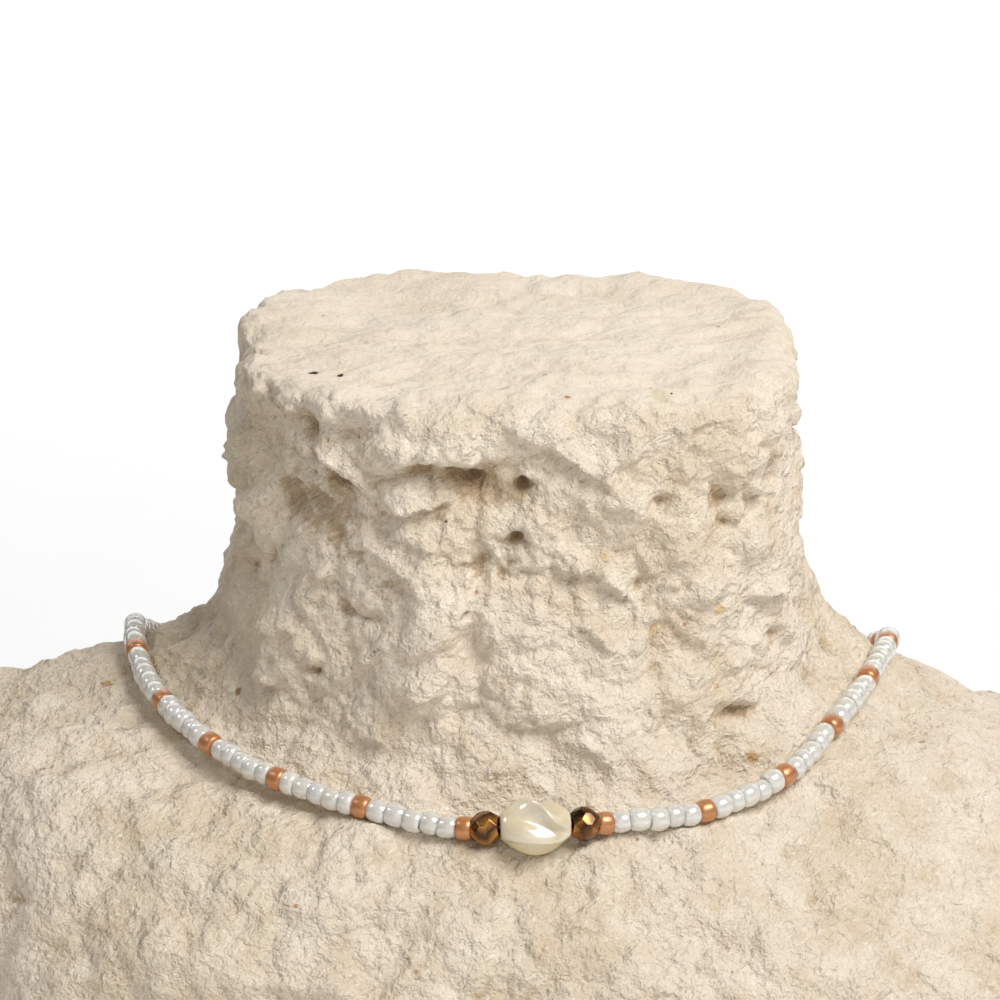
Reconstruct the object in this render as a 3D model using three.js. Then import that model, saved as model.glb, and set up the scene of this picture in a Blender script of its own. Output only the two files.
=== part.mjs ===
// A choker of seed beads on a thread, lying round a plain neck bust.
// Millimetres, +Z up. The origin is the middle of the bust's foot, and the bust faces -Y.
// Angles round the bust are in degrees from the front, growing towards +X.
import * as THREE from "three";

// Bust: its seat is the shoulder ridge, where the necklace crosses it.
const SEAT_HEIGHT = 79;
const NECK_HEIGHT = 61.5;
const SHOULDER_HALF_WIDTH = 115.5;
const FOOT_HALF_DEPTH = 85;
const NECK_HALF_WIDTH = 52;
const NECK_FRONT_REACH = 51.5;
const NECK_BACK_REACH = 50;
const SHOULDER_LEAN_HEIGHT = 3.7; // the +X shoulder is this much lower, and the other this much higher
const FOOT_ROUNDING_RADIUS = 3;
const RIM_ROUNDING_RADII = { front: 8, side: 5, back: 4.5 };
const RIM_RING_TURNS = [0, 30, 60, 90]; // degrees over the rim, from the neck's side to its top
const BUST_SIDES = 56;
const RIDGE_SOFTNESS_SHARES = { front: 0.15, back: 0.08 }; // how round the bust is over the shoulder ridge
const RIDGE_POWERS = { front: 1, back: 0.75 };

// The bust's rings, from foot to neck top. A rise runs from -1 at the floor through 0 at the seat
// to 1 at the neck's top, and a spread from 0, the neck's own reach, to 1, the foot's.
const RING_COLUMNS = [
  "frontRise", "sideRise", "backRise", "frontSpread", "sideSpread", "backSpread", "squareness", "lean",
];
const RINGS = [
  [-0.68, -0.62, -0.72, 1.0, 1.0, 1.0, 2.9, 0.27],
  [-0.52, -0.42, -0.57, 0.91, 0.99, 0.96, 2.7, 0.65],
  [-0.42, -0.27, -0.47, 0.78, 0.945, 0.86, 2.4, 0.92],
  [-0.348, -0.158, -0.392, 0.66, 0.843, 0.73, 2.2, 1.0],
  [-0.297, -0.097, -0.33, 0.554, 0.677, 0.57, 2.05, 0.92],
  [-0.253, -0.051, -0.278, 0.45, 0.488, 0.4, 1.95, 0.7],
  [-0.204, 0.0, -0.215, 0.33, 0.291, 0.23, 1.95, 0.4],
  [-0.146, 0.073, -0.139, 0.21, 0.165, 0.115, 2.1, 0.27],
  [-0.063, 0.171, -0.038, 0.12, 0.071, 0.043, 2.3, 0.13],
  [0.081, 0.293, 0.114, 0.06, 0.031, 0.0, 2.5, 0.0],
  [0.293, 0.439, 0.309, 0.024, 0.008, -0.01, 2.7, 0.0],
  [0.585, 0.65, 0.602, 0.0, 0.0, -0.01, 2.9, 0.0],
  [0.829, 0.846, 0.862, -0.015, -0.008, 0.0, 3.1, 0.0],
];
const SEAT_RING_INDEX = 6; // row of RINGS on which the necklace lies
const FINE_RING_INDEXES = { from: 1, to: 9 }; // rows between which the bust gets rings at half steps too
const TOP_TILT_HEIGHT = 2; // the neck's top is this much higher at the back
const TOP_SQUARENESS_POWER = 3.3;

// Beads, along the thread and across it.
const SEED_BEAD_LENGTH = 3;
const SEED_BEAD_RADIUS = 2.05;
const SEED_BEAD_END_RADIUS = 1.45;
const SEED_BEAD_SHOULDER = 0.24; // share of its length over which a seed bead rounds off
const BEAD_GAP = 0.15;
const LONG_BEAD_GAP = 0.5; // the pearl and the clasp are straight on a bend, and need more room
const BEAD_HOLE_RADIUS = 0.65;
const THREAD_RADIUS = 0.3;
const WHITE_BEADS_PER_RUN = 5;
// White beads vary: their length in each run from the pearl, as a share of a seed bead's. Further
// runs have 1.
const RUN_SHARES = { left: [1.07, 0.945, 0.89, 0.92, 1.09], right: [1.05, 1.0, 0.925, 1.02, 0.95] };
const BEAD_SIDES = 10;
const RONDELLE_LENGTH = 4.95;
const RONDELLE_RADIUS = 3.05;
const RONDELLE_FACETS = 8;
const PEARL_LENGTH = 12.4;
const PEARL_RADIUS = 5.2;
const PEARL_END_RADIUS = 1.2;
const CLASP_LENGTH = 11;
const CLASP_RADIUS = 2.2;
const CLASP_SIDES = 12;
const CLASP_ENTRY_DEPTH = 2; // length of thread inside each end of the clasp
const REST_GAP = 0.3; // beads lie this far off the bust

// The thread's course: its place on the bust's rings, as rows above or below the seat, by angle.
const COURSE = [
  { angle: -180, row: 0.5 },
  { angle: -150, row: 0.2 },
  { angle: -122, row: -0.6 },
  { angle: -106, row: -0.35 },
  { angle: -92, row: 0.02 },
  { angle: -68, row: -0.05 },
  { angle: -48, row: -0.18 },
  { angle: -25, row: -0.1 },
  { angle: -6, row: -0.21 },
  { angle: 6, row: -0.1 },
  { angle: 16, row: -0.02 },
  { angle: 31, row: -0.24 },
  { angle: 46, row: -0.06 },
  { angle: 59, row: 0.38 },
  { angle: 75, row: 0.46 },
  { angle: 90, row: 0.2 },
  { angle: 104, row: -0.1 },
  { angle: 120, row: -0.5 },
  { angle: 150, row: 0.2 },
];
const PEARL_ANGLE = 2.9;
const PEARL_LIFT_HEIGHT = 1.9; // how far the thread stands further off the bust at the pearl
const PEARL_LIFT_LENGTH = 14; // and how far to each side that dies away
const COURSE_STEP_COUNT = 720;

// Faces of the pearl: angle of each soft ridge round its axis at five stations from end to end,
// in degrees from the front, growing upwards. The last ridge closes on the first.
const PEARL_RIDGES = [
  { angles: [105, 98, 62, 16, -6], reach: 1 },
  { angles: [178, 168, 142, 112, 96], reach: 0.93 },
  { angles: [240, 258, 268, 262, 246], reach: 1 },
  { angles: [323, 322, 324, 316, 306], reach: 0.95 },
];
const PEARL_STATIONS = 12;
const PEARL_FACE_STEPS = 4;
const PEARL_HOLLOW_SHARE = 0.31; // how far a face dips below its ridges, as a share of the radius
const PEARL_FULLNESS_POWER = 0.72; // power of the sine that swells the pearl from end to end
const PEARL_TURNED_DOWN = 31;
const RONDELLE_TURNED_DOWN = { left: 22, right: 31 };

const COLOURS = {
  bust: 0xd9c9ab,
  whiteBead: 0xe9e9e4,
  copperBead: 0xb46a3f,
  rondelle: 0x7a4a22,
  pearl: 0xe8e3c8,
  clasp: 0xc9a06a,
};

const radians = THREE.MathUtils.degToRad;

// Value between the rows of a table, on a smooth curve through them. wrap joins the last to the first.
function alongRows(values, position, wrap = false) {
  const count = values.length;
  const from = wrap ? Math.floor(position) : Math.min(Math.max(Math.floor(position), 0), count - 2);
  const t = position - from;
  const pick = (i) => values[wrap ? (i + count) % count : Math.min(Math.max(i, 0), count - 1)];
  const [a, b, c, d] = [pick(from - 1), pick(from), pick(from + 1), pick(from + 2)];
  const bend = 2 * a - 5 * b + 4 * c - d;
  const twist = 3 * b - a - 3 * c + d;
  return 0.5 * (2 * b + (c - a) * t + bend * t ** 2 + twist * t ** 3);
}

function ringAt(row) {
  return Object.fromEntries(
    RING_COLUMNS.map((name, column) => [name, alongRows(RINGS.map((ring) => ring[column]), row)]),
  );
}

const riseToHeight = (rise) => SEAT_HEIGHT + rise * (rise < 0 ? SEAT_HEIGHT : NECK_HEIGHT);
const spreadToReach = (spread, neck, foot) => neck + spread * (foot - neck);

// Share of the way from the shoulder ridge, 0, to the bust's middle at front or back, 1.
function awayFromRidge(share, softness, power) {
  const bent = (x) => (x * x + softness * softness) ** (power / 2);
  return (bent(share) - bent(0)) / (bent(1) - bent(0));
}

// A point of a ring whose reaches, squareness and heights are given.
function ringPoint(angle, { front, side, back, squareness, frontZ, sideZ, backZ, lean }) {
  const across = Math.sin(radians(angle));
  const forward = Math.cos(radians(angle));
  const facing = forward > 0 ? "front" : "back";
  const depth = forward > 0 ? front : back;
  const reach =
    (Math.abs(across / side) ** squareness + Math.abs(forward / depth) ** squareness) ** (-1 / squareness);
  const away = awayFromRidge(Math.abs(forward), RIDGE_SOFTNESS_SHARES[facing], RIDGE_POWERS[facing]);
  const height = sideZ + ((forward > 0 ? frontZ : backZ) - sideZ) * away;
  return new THREE.Vector3(reach * across, -reach * forward, height - lean * across);
}

// The bust's surface at an angle and a row of RINGS, whole or between.
function bustPoint(angle, row) {
  const ring = ringAt(row);
  return ringPoint(angle, {
    front: spreadToReach(ring.frontSpread, NECK_FRONT_REACH, FOOT_HALF_DEPTH),
    side: spreadToReach(ring.sideSpread, NECK_HALF_WIDTH, SHOULDER_HALF_WIDTH),
    back: spreadToReach(ring.backSpread, NECK_BACK_REACH, FOOT_HALF_DEPTH),
    squareness: ring.squareness,
    frontZ: riseToHeight(ring.frontRise),
    sideZ: riseToHeight(ring.sideRise),
    backZ: riseToHeight(ring.backRise),
    lean: ring.lean * SHOULDER_LEAN_HEIGHT,
  });
}

function bustNormal(angle, row) {
  const step = 0.01;
  const round = bustPoint(angle + step, row).sub(bustPoint(angle - step, row));
  const upwards = bustPoint(angle, row + step).sub(bustPoint(angle, row - step));
  return round.cross(upwards).normalize();
}

// A ring of the foot, drawn in by inset, at a level height.
function footRing(inset, height) {
  return (angle) =>
    ringPoint(angle, {
      front: FOOT_HALF_DEPTH - inset,
      side: SHOULDER_HALF_WIDTH - inset,
      back: FOOT_HALF_DEPTH - inset,
      squareness: RINGS[0][RING_COLUMNS.indexOf("squareness")],
      frontZ: height,
      sideZ: height,
      backZ: height,
      lean: 0,
    });
}

// A ring of the neck's top edge, a turn over its rounding: 0 degrees at the neck's side, 90 at the top.
function rimRing(turn) {
  const drawnIn = 1 - Math.cos(radians(turn));
  const lowered = 1 - Math.sin(radians(turn));
  const { front, side, back } = RIM_ROUNDING_RADII;
  const top = SEAT_HEIGHT + NECK_HEIGHT;
  return (angle) =>
    ringPoint(angle, {
      front: NECK_FRONT_REACH - front * drawnIn,
      side: NECK_HALF_WIDTH - side * drawnIn,
      back: NECK_BACK_REACH - back * drawnIn,
      squareness: TOP_SQUARENESS_POWER,
      frontZ: top - TOP_TILT_HEIGHT / 2 - front * lowered,
      sideZ: top - side * lowered,
      backZ: top + TOP_TILT_HEIGHT / 2 - back * lowered,
      lean: 0,
    });
}

// A closed body from rings of points, each ring joined to the next by triangles split along the
// shorter way. capped closes both ends flat, and otherwise the last ring joins the first.
function ringBody(rings, capped) {
  const sides = rings[0].length;
  const points = rings.flat();
  const triangles = [];
  const spans = capped ? rings.length - 1 : rings.length;
  for (let k = 0; k < spans; k++) {
    for (let i = 0; i < sides; i++) {
      const next = (i + 1) % sides;
      const above = (k + 1) % rings.length;
      const [a, b, c, d] = [k * sides + i, k * sides + next, above * sides + next, above * sides + i];
      const shorter = points[a].distanceTo(points[c]) <= points[b].distanceTo(points[d]);
      triangles.push(...(shorter ? [a, b, c, a, c, d] : [a, b, d, b, c, d]));
    }
  }
  if (capped) {
    for (const [ring, first, turn] of [[rings[0], 0, 1], [rings.at(-1), (rings.length - 1) * sides, 0]]) {
      const middle = ring.reduce((sum, p) => sum.add(p), new THREE.Vector3()).divideScalar(sides);
      const hub = points.push(middle) - 1;
      for (let i = 0; i < sides; i++) {
        const pair = [first + i, first + ((i + 1) % sides)];
        triangles.push(hub, ...(turn ? pair.reverse() : pair));
      }
    }
  }
  const geometry = new THREE.BufferGeometry().setFromPoints(points).setIndex(triangles);
  geometry.computeVertexNormals();
  return geometry;
}

function piece(name, geometry, color, roughness, metalness) {
  const mesh = new THREE.Mesh(geometry, new THREE.MeshStandardMaterial({ color, roughness, metalness }));
  mesh.name = name;
  return mesh;
}

function neckBust() {
  const rows = [];
  for (let row = 0; row < RINGS.length; row++) {
    rows.push(row);
    if (row >= FINE_RING_INDEXES.from && row < FINE_RING_INDEXES.to) rows.push(row + 0.5);
  }
  const outlines = [
    footRing(FOOT_ROUNDING_RADIUS, 0),
    footRing(0, FOOT_ROUNDING_RADIUS),
    ...rows.map((row) => (angle) => bustPoint(angle, row)),
    ...RIM_RING_TURNS.map(rimRing),
  ];
  const angles = Array.from({ length: BUST_SIDES }, (_, i) => (360 * i) / BUST_SIDES);
  return piece("neck_bust", ringBody(outlines.map((at) => angles.map(at)), true), COLOURS.bust, 0.95, 0);
}

// How many rows above the seat the thread runs at an angle.
function courseRow(angle) {
  const turned = ((((angle + 180) % 360) + 360) % 360) - 180;
  const last = COURSE.findLastIndex((stop) => stop.angle <= turned);
  const from = COURSE[last].angle;
  const to = last + 1 < COURSE.length ? COURSE[last + 1].angle : COURSE[0].angle + 360;
  return alongRows(COURSE.map((stop) => stop.row), last + (turned - from) / (to - from), true);
}

// The thread's centre line as a closed list of points, each with its length from the pearl.
function threadCourse() {
  const stops = [];
  for (let i = 0; i < COURSE_STEP_COUNT; i++) {
    const turn = (360 * i) / COURSE_STEP_COUNT;
    const angle = PEARL_ANGLE + turn;
    const row = SEAT_RING_INDEX + courseRow(angle);
    const off = bustNormal(angle, row);
    const foot = bustPoint(angle, row);
    const fromPearl = radians(Math.min(turn, 360 - turn)) * foot.length();
    const lift = PEARL_LIFT_HEIGHT * Math.exp(-((fromPearl / PEARL_LIFT_LENGTH) ** 4));
    stops.push({ point: foot.addScaledVector(off, SEED_BEAD_RADIUS + REST_GAP + lift), off, along: 0 });
  }
  for (let i = 1; i < COURSE_STEP_COUNT; i++) {
    stops[i].along = stops[i - 1].along + stops[i].point.distanceTo(stops[i - 1].point);
  }
  const length = stops.at(-1).along + stops.at(-1).point.distanceTo(stops[0].point);
  return { stops, length };
}

const THREAD = threadCourse();

// Place on the thread at a length from the pearl, to the right if positive: a point, the way the
// thread runs, the way off the bust, and the third direction, up along the bust.
function onThread(length) {
  const wanted = ((length % THREAD.length) + THREAD.length) % THREAD.length;
  const last = THREAD.stops.findLastIndex((stop) => stop.along <= wanted);
  const next = (last + 1) % COURSE_STEP_COUNT;
  const end = next === 0 ? THREAD.length : THREAD.stops[next].along;
  const share = (wanted - THREAD.stops[last].along) / (end - THREAD.stops[last].along);
  const point = THREAD.stops[last].point.clone().lerp(THREAD.stops[next].point, share);
  const run = THREAD.stops[next].point.clone().sub(THREAD.stops[last].point).normalize();
  const off = THREAD.stops[last].off.clone().lerp(THREAD.stops[next].off, share);
  off.addScaledVector(run, -off.dot(run)).normalize();
  return { point, run, off, up: new THREE.Vector3().crossVectors(off, run) };
}

// A group that carries a bead modelled along its own X, with Z off the bust, to its place. The
// bead hangs halfway between the thread at its middle and the straight line between its ends, and
// is turned about the thread by some degrees, its Z going downwards.
function threaded(mesh, length, beadLength, turnedDown = 0) {
  const { point, off } = onThread(length);
  const start = onThread(length - beadLength / 2).point;
  const end = onThread(length + beadLength / 2).point;
  const run = end.clone().sub(start).normalize();
  off.addScaledVector(run, -off.dot(run)).normalize();
  const holder = new THREE.Group();
  const up = new THREE.Vector3().crossVectors(off, run);
  holder.quaternion.setFromRotationMatrix(new THREE.Matrix4().makeBasis(run, up, off));
  holder.position.copy(start.add(end).multiplyScalar(0.5).lerp(point, 0.5));
  mesh.rotation.x = radians(turnedDown);
  holder.add(mesh);
  return holder;
}

// A ring round the X axis at a place along it. reach may depend on the angle from Z towards Y.
function axialRing(x, sides, reach, turn = 0) {
  return Array.from({ length: sides }, (_, i) => {
    const angle = (2 * Math.PI * (i + turn)) / sides;
    return new THREE.Vector3(x, reach * Math.sin(angle), reach * Math.cos(angle));
  });
}

// A drilled seed bead: a short barrel with rounded ends.
function seedBead() {
  const half = SEED_BEAD_LENGTH / 2 - BEAD_GAP / 2;
  const flank = SEED_BEAD_LENGTH * (0.5 - SEED_BEAD_SHOULDER);
  const profile = [
    [-half, BEAD_HOLE_RADIUS],
    [-half, SEED_BEAD_END_RADIUS],
    [-flank, SEED_BEAD_RADIUS],
    [flank, SEED_BEAD_RADIUS],
    [half, SEED_BEAD_END_RADIUS],
    [half, BEAD_HOLE_RADIUS],
  ];
  return ringBody(profile.map(([x, radius]) => axialRing(x, BEAD_SIDES, radius)).reverse(), false);
}

// A cut rondelle: flat lozenges round its middle, kites beside them and triangles at each end.
function rondelle() {
  const step = Math.cos(Math.PI / RONDELLE_FACETS);
  const flank = RONDELLE_LENGTH * 0.22;
  const flankRadius = RONDELLE_RADIUS * step;
  const slope = (RONDELLE_RADIUS - flankRadius * step) / flank;
  const half = RONDELLE_LENGTH / 2 - BEAD_GAP / 2;
  const endRadius = RONDELLE_RADIUS - slope * half;
  const rings = [
    axialRing(-half, RONDELLE_FACETS, BEAD_HOLE_RADIUS),
    axialRing(-half, RONDELLE_FACETS, endRadius),
    axialRing(-flank, RONDELLE_FACETS, flankRadius, 0.5),
    axialRing(0, RONDELLE_FACETS, RONDELLE_RADIUS),
    axialRing(flank, RONDELLE_FACETS, flankRadius, 0.5),
    axialRing(half, RONDELLE_FACETS, endRadius),
    axialRing(half, RONDELLE_FACETS, BEAD_HOLE_RADIUS),
  ];
  return ringBody(rings.reverse(), false);
}

// One station of the pearl: its ridges turn from end to end, with hollow faces between them.
function pearlStation(share) {
  const swell = Math.sin(Math.PI * share) ** PEARL_FULLNESS_POWER;
  const radius = PEARL_END_RADIUS + (PEARL_RADIUS - PEARL_END_RADIUS) * swell;
  const ridges = PEARL_RIDGES.map(({ angles, reach }) => ({
    angle: alongRows(angles, share * (angles.length - 1)),
    reach,
  }));
  return ridges.flatMap((ridge, i) => {
    const next = ridges[(i + 1) % ridges.length];
    const span = (((next.angle - ridge.angle) % 360) + 360) % 360;
    return Array.from({ length: PEARL_FACE_STEPS }, (_, j) => {
      const across = j / PEARL_FACE_STEPS;
      const angle = radians(ridge.angle + span * across);
      const dip = PEARL_HOLLOW_SHARE * swell * Math.sin(Math.PI * across);
      const ridgeReach = ridge.reach + (next.reach - ridge.reach) * across;
      const x = (share - 0.5) * (PEARL_LENGTH - LONG_BEAD_GAP);
      return { x, angle, reach: radius * (1 + (ridgeReach - 1) * swell) * (1 - dip) };
    });
  });
}

// The drilled pearl. Its hole's rings use the same angles as its end stations.
function pearl() {
  const stations = Array.from({ length: PEARL_STATIONS + 1 }, (_, i) => pearlStation(i / PEARL_STATIONS));
  const place = ({ x, angle, reach }) =>
    new THREE.Vector3(x, reach * Math.sin(angle), reach * Math.cos(angle));
  const skin = stations.map((station) => station.map(place));
  const bore = (station) => station.map(({ x, angle }) => place({ x, angle, reach: BEAD_HOLE_RADIUS }));
  return ringBody([...skin, bore(stations.at(-1)), bore(stations[0])].reverse(), false);
}

// The barrel clasp: a plain closed tube that holds both ends of the thread.
function clasp() {
  const half = CLASP_LENGTH / 2 - LONG_BEAD_GAP / 2;
  const neck = half - CLASP_RADIUS / 2;
  const profile = [
    [-half, BEAD_HOLE_RADIUS],
    [-half, CLASP_RADIUS / 2],
    [-neck, CLASP_RADIUS],
    [neck, CLASP_RADIUS],
    [half, CLASP_RADIUS / 2],
    [half, BEAD_HOLE_RADIUS],
  ];
  return ringBody(profile.map(([x, radius]) => axialRing(x, CLASP_SIDES, radius)).reverse(), false);
}

// Half of the string: its thread runs from the pearl's middle to the clasp, and its white beads are
// fused to it in runs. side is 1 to the right and -1 to the left.
function whiteBeadString(side, runs) {
  const lead = runs[0].start;
  const bends = Math.ceil(lead / SEED_BEAD_LENGTH);
  const rings = Array.from({ length: bends }, (_, i) => [BEAD_GAP + (i * lead) / bends, THREAD_RADIUS]);
  for (const { start, beads, beadLength } of runs) {
    const end = start + beads * beadLength;
    rings.push([start + BEAD_GAP / 2, THREAD_RADIUS]);
    for (let bead = 0; bead < beads; bead++) {
      const at = start + bead * beadLength;
      rings.push([bead ? at : start + BEAD_GAP / 2, SEED_BEAD_END_RADIUS]);
      rings.push([at + beadLength * SEED_BEAD_SHOULDER, SEED_BEAD_RADIUS]);
      rings.push([at + beadLength * (1 - SEED_BEAD_SHOULDER), SEED_BEAD_RADIUS]);
    }
    rings.push([end - BEAD_GAP / 2, SEED_BEAD_END_RADIUS]);
    rings.push([end - BEAD_GAP / 2, THREAD_RADIUS]);
  }
  rings.push([THREAD.length / 2 - CLASP_LENGTH / 2 + CLASP_ENTRY_DEPTH, THREAD_RADIUS]);
  const placed = rings.map(([length, radius]) => {
    const { point, off, up } = onThread(side * length);
    return axialRing(0, BEAD_SIDES, radius).map(({ y, z }) =>
      point.clone().addScaledVector(off, z).addScaledVector(up, y),
    );
  });
  return ringBody(side > 0 ? placed.reverse() : placed, true);
}

// The order of the beads on one side of the pearl: rondelle, copper bead, then runs of white beads
// with a copper bead after each, and white beads alone in what is left before the clasp.
function beadOrder(shares) {
  const room = (THREAD.length - CLASP_LENGTH) / 2;
  const coppers = [(PEARL_LENGTH + SEED_BEAD_LENGTH) / 2 + RONDELLE_LENGTH];
  const runs = [];
  for (let start = coppers[0] + SEED_BEAD_LENGTH / 2; start + SEED_BEAD_LENGTH < room; ) {
    const beadLength = SEED_BEAD_LENGTH * (shares[runs.length] ?? 1);
    const beads = Math.min(WHITE_BEADS_PER_RUN, Math.floor((room - start) / beadLength));
    runs.push({ start, beads, beadLength });
    start += beads * beadLength;
    if (beads < WHITE_BEADS_PER_RUN || start + SEED_BEAD_LENGTH > room) break;
    coppers.push(start + SEED_BEAD_LENGTH / 2);
    start += SEED_BEAD_LENGTH;
  }
  return { coppers, runs };
}

const necklace = new THREE.Group();
const pearlBead = piece("baroque_pearl", pearl(), COLOURS.pearl, 0.3, 0.1);
const claspBarrel = piece("barrel_clasp", clasp(), COLOURS.clasp, 0.3, 0.9);
necklace.add(neckBust());
necklace.add(threaded(pearlBead, 0, PEARL_LENGTH, PEARL_TURNED_DOWN));
necklace.add(threaded(claspBarrel, THREAD.length / 2, CLASP_LENGTH));
for (const [label, side] of [["left", -1], ["right", 1]]) {
  const { coppers, runs } = beadOrder(RUN_SHARES[label]);
  const cut = piece(`bronze_rondelle_${label}`, rondelle(), COLOURS.rondelle, 0.2, 0.9);
  const cutAt = (side * (PEARL_LENGTH + RONDELLE_LENGTH)) / 2;
  necklace.add(threaded(cut, cutAt, RONDELLE_LENGTH, RONDELLE_TURNED_DOWN[label]));
  coppers.forEach((at, i) => {
    const name = `copper_bead_${label}_${String(i + 1).padStart(2, "0")}`;
    const bead = piece(name, seedBead(), COLOURS.copperBead, 0.35, 0.6);
    necklace.add(threaded(bead, side * at, SEED_BEAD_LENGTH));
  });
  const string = whiteBeadString(side, runs);
  necklace.add(piece(`white_bead_string_${label}`, string, COLOURS.whiteBead, 0.25, 0));
}

export default necklace;
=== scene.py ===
"""Looks of a choker of seed beads on a thread, lying round a rough paper pulp neck bust.

Shapes are worked out in millimetres in the part's own frame: +Z up, -Y to the front, origin in the
middle of the bust's foot. Angles round the bust are in degrees from the front, growing towards +X.
"""

import math

import bpy
import numpy as np
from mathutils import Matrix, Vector


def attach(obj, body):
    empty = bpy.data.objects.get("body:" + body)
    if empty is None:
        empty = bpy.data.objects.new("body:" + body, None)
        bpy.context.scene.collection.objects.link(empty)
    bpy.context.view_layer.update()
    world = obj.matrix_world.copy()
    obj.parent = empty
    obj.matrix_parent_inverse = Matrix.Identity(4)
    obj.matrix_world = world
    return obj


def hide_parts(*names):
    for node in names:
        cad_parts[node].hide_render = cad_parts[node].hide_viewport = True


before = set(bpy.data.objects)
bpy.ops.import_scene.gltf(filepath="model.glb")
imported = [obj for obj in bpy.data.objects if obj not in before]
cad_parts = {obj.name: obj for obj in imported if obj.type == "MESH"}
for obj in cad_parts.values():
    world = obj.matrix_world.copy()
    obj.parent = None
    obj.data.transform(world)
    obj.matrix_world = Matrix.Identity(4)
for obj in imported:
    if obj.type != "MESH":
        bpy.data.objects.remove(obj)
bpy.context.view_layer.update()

MM = 0.001
rng = np.random.default_rng(41)

# Bust: sizes and rings as in the part, from foot to neck top.
SEAT_HEIGHT = 79
NECK_HEIGHT = 61.5
SHOULDER_HALF_WIDTH = 115.5
FOOT_HALF_DEPTH = 85
NECK_HALF_WIDTH = 52
NECK_FRONT_REACH = 51.5
NECK_BACK_REACH = 50
SHOULDER_LEAN_HEIGHT = 3.7
FOOT_ROUNDING_RADIUS = 3
RIM_ROUNDING_RADII = np.array([8, 5, 4.5])  # front, side, back
TOP_TILT_HEIGHT = 2
TOP_SQUARENESS_POWER = 3.3
RIDGE_SOFTNESS_SHARES = (0.15, 0.08)  # front, back
RIDGE_POWERS = (1, 0.75)
# frontRise, sideRise, backRise, frontSpread, sideSpread, backSpread, squareness, lean
RINGS = np.array([
    [-0.68, -0.62, -0.72, 1.0, 1.0, 1.0, 2.9, 0.27],
    [-0.52, -0.42, -0.57, 0.91, 0.99, 0.96, 2.7, 0.65],
    [-0.42, -0.27, -0.47, 0.78, 0.945, 0.86, 2.4, 0.92],
    [-0.348, -0.158, -0.392, 0.66, 0.843, 0.73, 2.2, 1.0],
    [-0.297, -0.097, -0.33, 0.554, 0.677, 0.57, 2.05, 0.92],
    [-0.253, -0.051, -0.278, 0.45, 0.488, 0.4, 1.95, 0.7],
    [-0.204, 0.0, -0.215, 0.33, 0.291, 0.23, 1.95, 0.4],
    [-0.146, 0.073, -0.139, 0.21, 0.165, 0.115, 2.1, 0.27],
    [-0.063, 0.171, -0.038, 0.12, 0.071, 0.043, 2.3, 0.13],
    [0.081, 0.293, 0.114, 0.06, 0.031, 0.0, 2.5, 0.0],
    [0.293, 0.439, 0.309, 0.024, 0.008, -0.01, 2.7, 0.0],
    [0.585, 0.65, 0.602, 0.0, 0.0, -0.01, 2.9, 0.0],
    [0.829, 0.846, 0.862, -0.015, -0.008, 0.0, 3.1, 0.0],
])
# A level is a row of RINGS, whole or between. The foot's rounding lies below row 0, and the top's above.
FOOT_LEVELS = (-1.2, -1)
SEAT_LEVEL = 6
NECK_LEVEL = 8.5
RIM_LEVELS = (12.2, 12.4, 12.6, 12.8, 13)

# Beads, along the thread and across it, as in the part.
SEED_BEAD_LENGTH = 3
SEED_BEAD_RADIUS = 2.05
BEAD_GAP = 0.15
LONG_BEAD_GAP = 0.5
BEAD_HOLE_RADIUS = 0.65
THREAD_RADIUS = 0.3
WHITE_BEADS_PER_RUN = 5
RUN_SHARES = {"left": [1.07, 0.945, 0.89, 0.92, 1.09], "right": [1.05, 1.0, 0.925, 1.02, 0.95]}
RONDELLE_LENGTH = 4.95
RONDELLE_RADIUS = 3.05
RONDELLE_FACETS = 8
PEARL_LENGTH = 12.4
PEARL_RADIUS = 5.2
PEARL_END_RADIUS = 1.9
CLASP_LENGTH = 11
CLASP_RADIUS = 2.2
CLASP_ENTRY_DEPTH = 2
REST_GAP = 0.3

# The thread's course, as in the part: its place in levels above or below the seat, by angle.
COURSE = np.array([
    [-180, 0.5], [-150, 0.2], [-122, -0.6], [-106, -0.35], [-92, 0.02], [-68, -0.05], [-48, -0.18],
    [-25, -0.1], [-6, -0.21], [6, -0.1], [16, -0.02], [31, -0.24], [46, -0.06], [59, 0.38], [75, 0.46],
    [90, 0.2], [104, -0.1], [120, -0.5], [150, 0.2],
])
PEARL_ANGLE = 2.9
PEARL_LIFT_HEIGHT = 1.9
PEARL_LIFT_LENGTH = 14
COURSE_STEPS = 1440

# The pearl's four soft ridges: angle round its axis at five stations, and how far each stands out.
PEARL_RIDGE_ANGLES = np.array([
    [105, 98, 62, 16, -6], [178, 168, 142, 112, 96], [240, 258, 268, 262, 246], [323, 322, 324, 316, 306],
])
PEARL_RIDGE_REACHES = np.array([1, 0.93, 1, 0.95])
PEARL_HOLLOW_SHARE = 0.42
PEARL_HOLLOW_POWER = 1.45
PEARL_FULLNESS_POWER = 0.72
PEARL_TURNED_DOWN = 31
RONDELLE_TURNED_DOWN = {"left": 22, "right": 31}

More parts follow.
